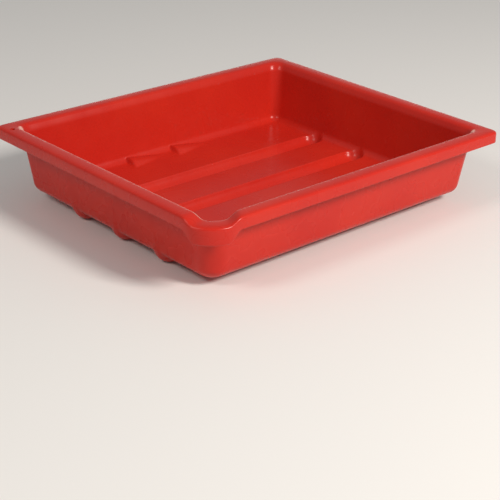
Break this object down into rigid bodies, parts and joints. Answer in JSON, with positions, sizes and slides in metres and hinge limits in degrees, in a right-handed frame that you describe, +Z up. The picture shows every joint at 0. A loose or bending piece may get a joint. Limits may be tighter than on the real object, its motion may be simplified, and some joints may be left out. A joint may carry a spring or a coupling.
{
  "type": "developing tray",
  "caption": "Rectangular darkroom tray in glossy red plastic with drafted walls, a rolled rim, a pouring lip at one corner, rounded floor channels and a hanging hole",
  "frame": {"origin": "under the middle of the tray, on the plane that its three runners stand on", "axes": "X along the long side, Y along the short side, Z up; the pouring lip is in the -X -Y corner"},
  "size_m": [0.31, 0.266, 0.0625],
  "materials": {
    "moulding": "smooth red polystyrene, coloured through, glossy as moulded"
  },
  "bodies": {
    "root": {"tray": "moulding"}
  },
  "joints": []
}
